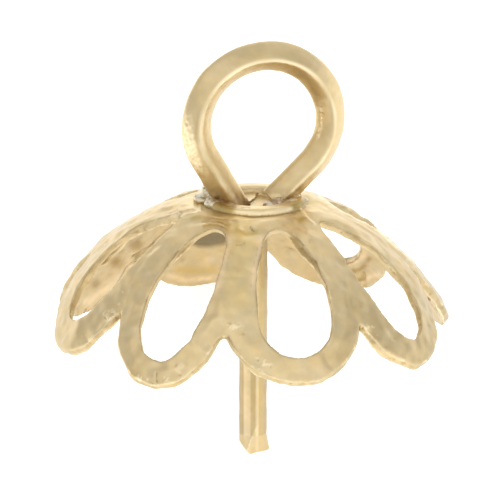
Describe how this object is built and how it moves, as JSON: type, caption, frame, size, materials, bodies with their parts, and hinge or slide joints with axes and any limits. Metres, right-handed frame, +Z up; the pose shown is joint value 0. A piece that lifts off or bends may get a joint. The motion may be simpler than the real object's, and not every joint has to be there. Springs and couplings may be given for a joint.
{
  "type": "pearl pendant bail",
  "caption": "Domed, pierced flower cap with a wire eye on top for a chain and a snipped peg below for a half-drilled pearl.",
  "frame": {"origin": "middle of the footprint box, on the surface that the bail rests on", "axes": "+Z up from the surface, +X to the right as the bail is seen from the side the peg's tip points to, +Y away from that side; the hub's axis leans back 33.8 degrees from +Z towards +Y"},
  "size_m": [0.0112, 0.0096, 0.0107],
  "materials": {
    "gold": "satin, cast and lightly hammered"
  },
  "bodies": {
    "root": {"pearl_bail": "gold"}
  },
  "joints": []
}
